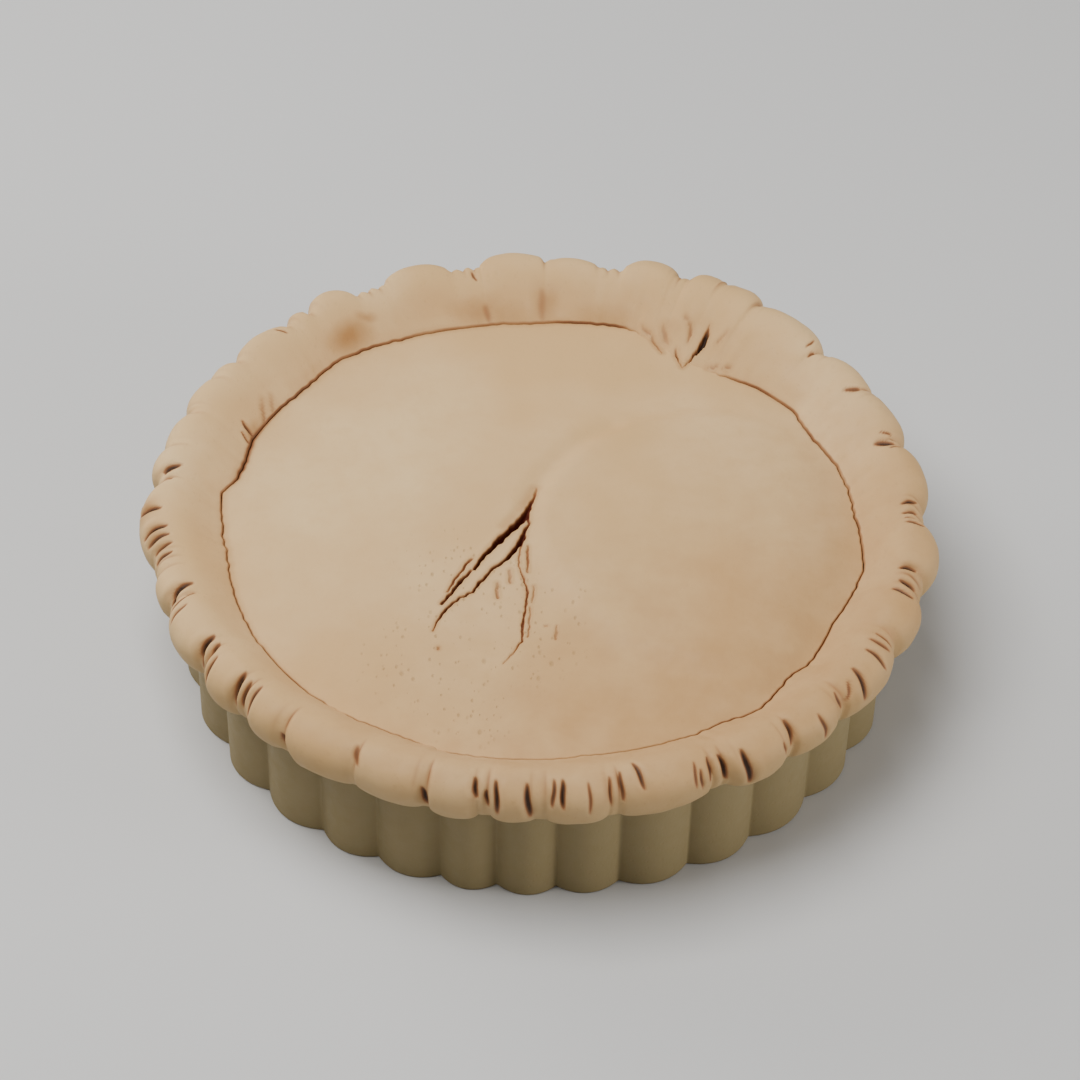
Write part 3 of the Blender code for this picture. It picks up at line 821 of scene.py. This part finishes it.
def case_section(rings, angle, sizes):
    """Return radius, height and length over the rim for each ring at each angle, in mm."""
    pinch = pinch_depth(angle)
    seam = seam_radius(angle)
    closed = seam_closed(angle)
    waves = sum(rise * np.sin(np.radians(count * angle) + phase) for count, phase, rise in CREST_WAVES)
    crest = sizes.crest_height / MM + CREST_TILT * np.sin(np.radians(angle)) + waves
    crest -= CREST_PINCH_SHARE * pinch
    crest_radius = CREST_RADIUS - CREST_PINCH_SHARE * pinch
    reach = sizes.rim_radius / MM - pinch - crest_radius
    start = seam + 0.5 * SEAM_OPENING * (1.0 - closed)
    shoulder = SEAM_SHOULDER * (1.0 - CLOSED_SHOULDER_LOSS * closed)
    tuck = bell(apart(angle, TUCK_ANGLE), TUCK_HALF_WIDTH)
    base_radius = sizes.base_radius / MM
    groove = (sizes.flute_depth / MM) * (1.0 - flute_bulge(angle))
    radius = np.zeros((len(rings), len(angle)))
    height = np.zeros_like(radius)
    length = np.full_like(radius, OFF_RIM)

    def slope_height(share):
        rise = 1.0 - (1.0 - share) ** INNER_SLOPE_POWER
        fold = TUCK_DEPTH * tuck * bell(share - 0.5, 0.5)
        return LID_EDGE_HEIGHT + (crest - LID_EDGE_HEIGHT) * rise - fold

    for row, (part, share) in enumerate(rings):
        turned = 0.5 * math.pi * share
        if part == "pocket":
            radius[row] = share * start
            height[row] = POCKET_HEIGHT
        elif part == "lip":
            radius[row] = start + shoulder * (1.0 - math.cos(turned))
            top = slope_height((radius[row] - start) / (crest_radius - start))
            drop = SEAM_DEPTH * (1.0 - math.sin(turned))
            height[row] = top - drop * (1.0 - closed)
            length[row] = 0.0
        elif part == "slope":
            inner = shoulder / (crest_radius - start)
            place = inner + (1.0 - inner) * share
            radius[row] = start + (crest_radius - start) * place
            height[row] = slope_height(place)
            length[row] = CREST_LENGTH * place
        elif part == "outer":
            radius[row] = crest_radius + reach * math.sin(turned)
            height[row] = RIM_MID_HEIGHT + (crest - RIM_MID_HEIGHT) * math.cos(turned)
            length[row] = CREST_LENGTH + OUTER_LENGTH * share
        elif part == "under":
            turned *= UNDER_TURN
            drop = RIM_MID_HEIGHT - RIM_UNDERSIDE_HEIGHT - UNDERSIDE_PINCH_SHARE * pinch
            radius[row] = crest_radius + reach * math.cos(turned)
            height[row] = RIM_MID_HEIGHT - drop * math.sin(turned)
            length[row] = CREST_LENGTH + OUTER_LENGTH + UNDER_LENGTH * share
        elif part == "wall":
            height[row] = BASE_BEVEL + (WALL_TOP_HEIGHT - BASE_BEVEL) * share
            radius[row] = base_radius + WALL_DRAFT * height[row] - groove
        elif part == "base":
            radius[row] = base_radius - groove - BASE_BEVEL * (1.0 - math.sin(turned))
            height[row] = BASE_BEVEL * (1.0 - math.cos(turned))
        else:
            radius[row] = (base_radius - groove - BASE_BEVEL) * share
    return radius, height, length


def crease_relief(angle, length):
    """Return the creases' depth and their colour, partly browning and partly painted shade, over the rim, for
    each ring at each angle.
    """
    depth = np.zeros_like(length)
    colour = np.zeros_like(length)
    for centre, start, end, width, deep, lean in CREASES:
        middle = 0.5 * (start + end)
        half = 0.5 * (end - start)
        along = (length - middle) / half
        near = np.abs(apart(angle, centre)) < CREASE_SEARCH
        run = along[:, near]
        wander = CREASE_WANDER * np.sin(CREASE_WANDER_RATE * run + centre)
        offset = apart(angle[near], centre)[None, :] - 0.5 * lean * run - wander
        across = offset * math.radians(1.0) * CREST_RADIUS
        fade = np.clip(1.0 - run * run, 0.0, 1.0) ** CREASE_POWER
        half_width = 0.5 * CREASE_WIDENING * width * (0.5 + 0.5 * fade) + CREASE_LEAST
        ridge = bell(np.abs(across) - RIDGE_OFFSET * half_width, RIDGE_WIDTH * half_width)
        cut = bell(across, CREASE_CUT * half_width) - RIDGE_HEIGHT * ridge
        depth[:, near] += deep * fade * cut
        # The crease's dark stroke is partly browning and partly painted shade in the cut
        tone_and_shade_stroke = CREASE_TONE * deep ** CREASE_POWER * fade ** CREASE_POWER * bell(across, half_width)
        colour[:, near] = np.maximum(colour[:, near], tone_and_shade_stroke)
    return depth, np.clip(colour, 0.0, 1.0)


def toasted(angle, length):
    """Return the strength of the soft browned patches over the rim."""
    strength = np.zeros_like(length)
    for centre, middle, reach, span, share in TOASTED_PATCHES:
        patch = share * bell(apart(angle, centre), reach)[None, :] * bell(length - middle, span)
        strength = np.maximum(strength, patch)
    return strength


def store(mesh, name, values):
    """Store one value for each point of a mesh."""
    layer = mesh.attributes.new(name, "FLOAT", "POINT")
    layer.data.foreach_set("value", np.asarray(values, dtype=np.float32))


def place_points(mesh, x, y, z, node):
    """Move a mesh's points to places in mm, kept within the box of the solid that it stands for."""
    low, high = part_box(node)
    places = np.stack([x, y, z], axis=1) * MM
    places = np.clip(places, np.array(low), np.array(high))
    mesh.vertices.foreach_set("co", places.astype(np.float32).ravel())
    mesh.update()


def finished_mesh(bm, name):
    """Return the mesh made of a bmesh, which is freed."""
    mesh = bpy.data.meshes.new(name)
    bm.to_mesh(mesh)
    bm.free()
    return mesh


def put_in_scene(name, data):
    """Return a new object with the given data, linked to the scene."""
    item = bpy.data.objects.new(name, data)
    bpy.context.scene.collection.objects.link(item)
    return item


def show_piece(name, mesh, material, node):
    """Put a finished mesh into the scene in place of a CAD node."""
    mesh.shade_smooth()
    mesh.set_sharp_from_angle(angle=math.radians(SHARP_ANGLE))
    mesh.materials.append(material)
    piece = put_in_scene(name, mesh)
    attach(piece, BODY)
    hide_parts(node)


class MEATPIE_OT_make_case(bpy.types.Operator):
    """Model the fluted wall and the rolled, pinched and creased rim"""

    bl_idname = "meat_pie.make_case"
    bl_label = "Make Case"

    def execute(self, context):
        sizes = context.scene.meat_pie_case
        rings = case_rings()
        angle = crowded_angles(CASE_STEPS)
        radius, height, length = case_section(rings, angle, sizes)
        depth, colour = crease_relief(angle, length)
        self.add_relief(radius, height, length, angle, depth * sizes.crease_scale)
        folds, fold_gap = self.rim_folds(radius, length, angle)
        height -= folds
        x, y = flat_place(radius, angle)
        mesh, ring, step = self.rolled_up(x, y, height)
        place_points(mesh, x[ring, step], y[ring, step], height[ring, step], CASE_NODE)
        colour = np.maximum.reduce([
            colour,
            # Painted shade in the valleys of the pinches' ripples
            VALLEY_TONE * ripples(angle)[1][None, :] * bell(length - VALLEY_LENGTH, VALLEY_REACH),
            seam_colour(angle[None, :], length) * (length > ON_RIM),
            # Folds darken with their depth: partly browning, partly painted shade
            np.clip(folds / FULL_TONE_DEPTH, 0.0, 1.0),
        ])
        toast_and_shade = np.maximum.reduce([
            toasted(angle, length),
            tone_near(fold_gap, FOLD_TOAST),
            # Painted shade towards the front right
            SIDE_SHADE_RIM_SHARE * side_shade(x, y),
            tone_near(length, RIM_SEAM_TOAST) * (1.0 - seam_closed(angle))[None, :],
            # Painted shade on the rim's inner slope
            SLOPE_SHADE * eased((SLOPE_SHADE_END - length) / SLOPE_SHADE_FADE) * (length > ON_RIM),
        ])
        # The wall's colour, and painted shade on the rim's lower side
        wall = self.wall_colour_and_painted_shade(rings)
        toast_and_shade = toast_and_shade * (1.0 - wall)[:, None]
        store(mesh, "crease_tone_and_shade", colour[ring, step])
        store(mesh, "toast_and_shade", toast_and_shade[ring, step])
        store(mesh, "wall", wall[ring])
        store(mesh, "pores", np.full(len(ring), RIM_PORES))
        toast_and_shade_colour = tuple(context.scene.meat_pie_lid.toast_and_shade)
        material = pastry_material(
            "case_pastry", tuple(sizes.pastry), toast_and_shade_colour, tuple(sizes.crease_tone_and_shade), tuple(sizes.wall_pastry_and_shade)
        )
        show_piece("pie_case_crust", mesh, material, CASE_NODE)
        return {"FINISHED"}

    def rim_folds(self, radius, length, angle):
        """Return the depth of the folds on the rim's inner slope, and the distance to the nearest one."""
        x, y = flat_place(radius, angle)
        on_slope = (length > ON_RIM) & (length < RIM_FOLD_REACH)
        depth = np.where(on_slope, tear_shape(x, y, RIM_FOLDS)[0], 0.0)
        gap = np.where(on_slope, np.maximum(tear_gap(x, y, RIM_FOLDS), 0.0), FAR)
        return depth, gap

    def add_relief(self, radius, height, length, angle, depth):
        """Push creases, ripples and lumps into the section, square to its surface."""
        run_radius = np.gradient(radius, axis=0)
        run_height = np.gradient(height, axis=0)
        size = np.maximum(np.hypot(run_radius, run_height), 1e-6)
        out_radius = -run_height / size
        out_height = run_radius / size
        on_rim = eased((length - 1.0) / LUMP_FADE)
        rolled = eased((length - ROLL_START) / ROLL_FADE_IN) * eased((ROLL_END - length) / ROLL_FADE_OUT)
        relief = ripples(angle)[0][None, :] * rolled - depth * eased((length + CREASE_FADE) / CREASE_FADE)
        x, y = flat_place(radius, angle)
        relief += on_rim * lumpy(x, y, height, RIM_LUMPS)
        radius += np.where(length > ON_RIM, relief * out_radius, 0.0)
        height += np.where(length > ON_RIM, relief * out_height, 0.0)

    def rolled_up(self, x, y, height):
        """Roll a grid up into the closed case; return the mesh with each point's ring and step."""
        bm = bmesh.new()
        last = len(height) - 1
        bmesh.ops.create_grid(bm, x_segments=CASE_STEPS, y_segments=last, size=1.0)
        ring_layer = bm.verts.layers.int.new("ring")
        step_layer = bm.verts.layers.int.new("step")
        joined = []
        for vert in bm.verts:
            column = round(0.5 * (vert.co.x + 1.0) * CASE_STEPS)
            ring = round(0.5 * (vert.co.y + 1.0) * last)
            step = column % CASE_STEPS
            vert[ring_layer] = ring
            vert[step_layer] = step
            vert.co = Vector((x[ring, step], y[ring, step], height[ring, step])) * MM
            if step == 0 or ring in (0, last):
                joined.append(vert)
        bmesh.ops.remove_doubles(bm, verts=joined, dist=JOIN_DISTANCE * MM)
        bmesh.ops.recalc_face_normals(bm, faces=bm.faces)
        mesh = finished_mesh(bm, "pie_case_crust")
        return mesh, self.stored(mesh, "ring"), self.stored(mesh, "step")

    def stored(self, mesh, name):
        """Return the whole numbers stored under a name for a mesh's points."""
        values = np.zeros(len(mesh.vertices), dtype=np.int32)
        mesh.attributes[name].data.foreach_get("value", values)
        return values

    def wall_colour_and_painted_shade(self, rings):
        """Return for each ring how much it has the darker colour of the wall, which is painted shade on the
        rim's outer side and underside.
        """
        shares = []
        for part, share in rings:
            if part == "outer":
                shares.append(LOWER_RIM_SHADE * max(share - 0.5, 0.0) / 0.5)
            elif part == "under":
                shares.append(LOWER_RIM_SHADE + (UNDERSIDE_SHADE - LOWER_RIM_SHADE) * share)
            else:
                shares.append(1.0 if part in ("wall", "base", "bottom") else 0.0)
        return np.array(shares)


class MEATPIE_OT_make_lid(bpy.types.Operator):
    """Model the domed lid with its torn steam vent"""

    bl_idname = "meat_pie.make_lid"
    bl_label = "Make Lid"

    def execute(self, context):
        settings = context.scene.meat_pie_lid
        mesh, on_top = self.rounded_grid(settings.cells)
        places = np.zeros(len(mesh.vertices) * 3, dtype=np.float32)
        mesh.vertices.foreach_get("co", places)
        x, y, z = (places.reshape(-1, 3) / MM).T.astype(float)
        angle = np.degrees(np.arctan2(y, x))
        closed = seam_closed(angle)
        edge = seam_radius(angle) - 0.5 * SEAM_OPENING * (1.0 - closed) - np.hypot(x, y)
        depth, lip = tear_shape(x, y, LID_TEARS)
        depth = depth * settings.tear_scale
        fold_gap, _ = along_path(x, y, MOUND_FOLD)
        scorch_gap, _ = along_path(x, y, SCORCH)
        scorch = bell(scorch_gap, SCORCH_REACH)
        fold = MOUND_FOLD_DEPTH * bell(fold_gap, MOUND_FOLD_WIDTH) + SCORCH_DEPTH * scorch
        lump = lumpy(x, y, np.zeros_like(x), LID_LUMPS)
        rolled = np.clip(1.0 - edge / LID_EDGE_ROLL, 0.0, 1.0)
        drop = LID_EDGE_DROP * (1.0 - np.sqrt(1.0 - rolled * rolled)) * (1.0 - closed)
        lump = lump * eased(edge / LID_LUMP_FADE)
        top = lid_level(x, y) + lump - depth + lip * TEAR_LIP_RISE - fold - drop
        place_points(mesh, x, y, np.where(on_top, top, z), LID_NODE)
        seam_line = seam_colour(angle, edge)
        gap = tear_gap(x, y, LID_TEARS)
        # Tears darken with their depth: partly browning, partly painted shade
        crease_tone_and_shade = np.clip(depth / FULL_TONE_DEPTH, 0.0, 1.0)
        toast_and_shade = np.maximum.reduce([
            # Painted shade towards the front right
            side_shade(x, y),
            # Browning and painted shade in the trough beside the vent
            SCORCH_AND_SHADE_STRENGTH * scorch,
            tone_near(np.maximum(gap, 0.0), TEAR_TOAST),
            tone_near(edge, LID_SEAM_TOAST) * (1.0 - closed),
            # Browning and painted shade along the mound's fold
            tone_near(fold_gap, MOUND_FOLD_TONE_AND_SHADE) * bell(y - MOUND_FOLD_SHADE_Y, MOUND_FOLD_SHADE_SPAN),
        ])
        store(mesh, "crease_tone_and_shade", np.maximum(crease_tone_and_shade, seam_line))
        store(mesh, "toast_and_shade", toast_and_shade)
        store(mesh, "pores", self.pored(x, y))
        material = pastry_material(
            "lid_pastry", tuple(settings.pastry), tuple(settings.toast_and_shade), tuple(settings.crease_tone_and_shade)
        )
        show_piece("pie_lid_crust", mesh, material, LID_NODE)
        return {"FINISHED"}

    def rounded_grid(self, cells):
        """Return a closed disc of cells, finer at the tears and the seam, and which points are on top."""
        bm = bmesh.new()
        bmesh.ops.create_grid(bm, x_segments=cells, y_segments=cells, size=1.0)
        for vert in bm.verts:
            across, up = vert.co.x, vert.co.y
            vert.co.x = across * math.sqrt(1.0 - 0.5 * up * up)
            vert.co.y = up * math.sqrt(1.0 - 0.5 * across * across)
        places = np.array([vert.co.xy for vert in bm.verts])
        angle = np.degrees(np.arctan2(places[:, 1], places[:, 0]))
        places *= (seam_radius(angle) - 0.5 * SEAM_OPENING * (1.0 - seam_closed(angle)))[:, None] * MM
        for vert, (x, y) in zip(bm.verts, places):
            vert.co.x, vert.co.y = x, y
        for tear_reach, seam_reach in zip(FINE_TEAR_REACHES, FINE_SEAM_REACHES):
            self.refine(bm, tear_reach, seam_reach)
        bmesh.ops.recalc_face_normals(bm, faces=bm.faces)
        rim = [edge for edge in bm.edges if edge.is_boundary]
        top_count = len(bm.verts)
        lowered = bmesh.ops.extrude_edge_only(bm, edges=rim)["geom"]
        for vert in lowered:
            if isinstance(vert, bmesh.types.BMVert):
                vert.co.z = POCKET_HEIGHT * MM + SEAM_GAP * MM
        loop = [edge for edge in lowered if isinstance(edge, bmesh.types.BMEdge)]
        bmesh.ops.contextual_create(bm, geom=loop)
        bmesh.ops.recalc_face_normals(bm, faces=bm.faces)
        mesh = finished_mesh(bm, "pie_lid_crust")
        return mesh, np.arange(len(mesh.vertices)) < top_count

    def refine(self, bm, tear_reach, seam_reach):
        """Halve the cells that lie near a tear or the seam."""
        places = np.array([vert.co.xy for vert in bm.verts]) / MM
        x, y = places[:, 0], places[:, 1]
        edge = seam_radius(np.degrees(np.arctan2(y, x))) - np.hypot(x, y)
        near = (tear_gap(x, y, LID_TEARS) < tear_reach) | (edge < seam_reach)
        bm.verts.index_update()
        chosen = [line for line in bm.edges if near[line.verts[0].index] and near[line.verts[1].index]]
        bmesh.ops.subdivide_edges(bm, edges=chosen, cuts=1, use_grid_fill=True)

    def pored(self, x, y):
        """Return how thickly the lid is pocked with pores."""
        share = np.full_like(x, LEAST_PORES)
        for middle_x, middle_y, reach in PORED_PATCHES:
            near = bell(np.hypot(x - middle_x, y - middle_y), reach)
            share = np.maximum(share, eased(PORED_SPREAD * near))
        return share


class MEATPIE_OT_set_studio(bpy.types.Operator):
    """Set the pale floor, the soft lights and the camera"""

    bl_idname = "meat_pie.set_studio"
    bl_label = "Set Studio"

    def execute(self, context):
        studio = context.scene.meat_pie_studio
        self.lay_floor(tuple(studio.floor))
        self.add_light("key", (-0.35, -0.1, 1.2), (0.0, 0.0, 0.04), 0.8, studio.key_power)
        self.add_light("edge", (-1.0, 0.7, 0.55), (0.0, 0.0, 0.05), 0.7, studio.edge_power)
        self.add_light("side", (1.2, -0.35, 0.3), (0.0, 0.0, 0.03), 0.5, studio.side_power)
        self.light_room(context.scene)
        self.aim_camera(context.scene, studio)
        return {"FINISHED"}

    def lay_floor(self, colour):
        """Lay a wide, plain and pale floor."""
        bm = bmesh.new()
        bmesh.ops.create_grid(bm, x_segments=2, y_segments=2, size=FLOOR_HALF)
        mesh = finished_mesh(bm, "studio_floor")
        board = NodeBoard("studio_floor")
        darker = tuple(0.97 * part for part in colour)
        shade = board.blend(board.spread(board.grain(3.0, 2.0), 0.3, 0.7), colour, darker)
        board.fill(board.shader.inputs["Base Color"], shade)
        board.shader.inputs["Roughness"].default_value = 0.9
        board.shader.inputs["Specular IOR Level"].default_value = 0.2
        mesh.materials.append(board.material)
        floor = put_in_scene("studio_floor", mesh)

    def add_light(self, name, place, aim, size, power):
        """Hang a soft square light that faces its aim."""
        light = bpy.data.lights.new(name, "AREA")
        light.shape = "SQUARE"
        light.size = size
        light.energy = power
        lamp = put_in_scene(name, light)
        lamp.location = place
        lamp.rotation_euler = (Vector(aim) - Vector(place)).to_track_quat("-Z", "Y").to_euler()

    def light_room(self, scene):
        """Fill the shadows with an even, pale light."""
        world = bpy.data.worlds.new("studio_room")
        world.use_nodes = True
        background = world.node_tree.nodes["Background"]
        background.inputs["Color"].default_value = ROOM_COLOUR
        background.inputs["Strength"].default_value = ROOM_STRENGTH
        scene.world = world

    def aim_camera(self, scene, studio):
        """Put the camera where the pie is seen from above its front."""
        camera = bpy.data.cameras.new("camera")
        camera.lens = studio.lens
        camera.sensor_width = 36.0
        camera.clip_end = 20.0
        seat = put_in_scene("camera", camera)
        back = Vector((0.0, -math.cos(studio.elevation), math.sin(studio.elevation)))
        aim = Vector((0.0, 0.0, studio.aim_height))
        tilt = Matrix.Rotation(0.5 * math.pi - studio.elevation, 4, "X")
        turned = tilt @ Matrix.Rotation(studio.roll, 4, "Z")
        seat.matrix_world = Matrix.Translation(aim + back * studio.distance) @ turned
        scene.camera = seat


class MEATPIE_PT_panel(bpy.types.Panel):
    """Lists the meat pie's pieces"""

    bl_idname = "MEATPIE_PT_panel"
    bl_label = "Meat Pie"
    bl_space_type = "VIEW_3D"
    bl_region_type = "UI"
    bl_category = "Meat Pie"

    def draw(self, context):
        layout = self.layout
        for settings, operator in (
            (context.scene.meat_pie_case, MEATPIE_OT_make_case),
            (context.scene.meat_pie_lid, MEATPIE_OT_make_lid),
            (context.scene.meat_pie_studio, MEATPIE_OT_set_studio),
        ):
            box = layout.box()
            for name in settings.bl_rna.properties.keys():
                if name not in ("name", "rna_type"):
                    box.prop(settings, name)
            box.operator(operator.bl_idname)


CLASSES = (
    MeatPieCaseSettings,
    MeatPieLidSettings,
    MeatPieStudioSettings,
    MEATPIE_OT_make_case,
    MEATPIE_OT_make_lid,
    MEATPIE_OT_set_studio,
    MEATPIE_PT_panel,
)


def register():
    """Register the pie's classes and put its settings on the scene."""
    for item in CLASSES:
        bpy.utils.register_class(item)
    bpy.types.Scene.meat_pie_case = PointerProperty(type=MeatPieCaseSettings)
    bpy.types.Scene.meat_pie_lid = PointerProperty(type=MeatPieLidSettings)
    bpy.types.Scene.meat_pie_studio = PointerProperty(type=MeatPieStudioSettings)


def unregister():
    """Take the settings off the scene and unregister the classes."""
    del bpy.types.Scene.meat_pie_studio
    del bpy.types.Scene.meat_pie_lid
    del bpy.types.Scene.meat_pie_case
    for item in reversed(CLASSES):
        bpy.utils.unregister_class(item)


def main():
    """Make the pie and its studio."""
    register()
    bpy.ops.meat_pie.make_case()
    bpy.ops.meat_pie.make_lid()
    bpy.ops.meat_pie.set_studio()


if __name__ == "__main__":
    main()
